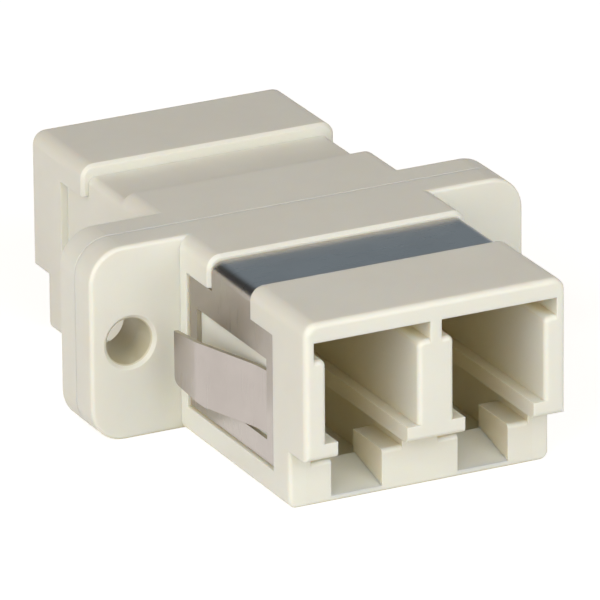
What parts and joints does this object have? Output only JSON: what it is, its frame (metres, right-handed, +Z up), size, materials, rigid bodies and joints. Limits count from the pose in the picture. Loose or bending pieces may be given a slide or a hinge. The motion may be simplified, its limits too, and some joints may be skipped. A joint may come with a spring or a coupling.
{
  "type": "fibre optic adapter",
  "caption": "Flanged duplex fibre optic adapter: a beige moulded housing with latched plug ports at both ends, screw ears and a sprung steel clip that holds it in a panel.",
  "frame": {"origin": "under the middle of the part, on the surface that it rests on, in the plane of the seam between the halves", "axes": "+X along the pair of ports, +Y along the fibres from the clip's half to the plain half, +Z up with the latch slots below"},
  "size_m": [0.0218, 0.028, 0.0092],
  "materials": {
    "housing_plastic": "fine satin texture as moulded",
    "clip_steel": "rolled stainless sheet, smooth on the faces and dull on the cut edges",
    "sleeve_bronze": "drawn phosphor bronze, bright"
  },
  "bodies": {
    "root": {"front_housing": "housing_plastic", "rear_housing": "housing_plastic", "retaining_clip": "clip_steel", "left_sleeve": "sleeve_bronze", "right_sleeve": "sleeve_bronze"}
  },
  "joints": []
}
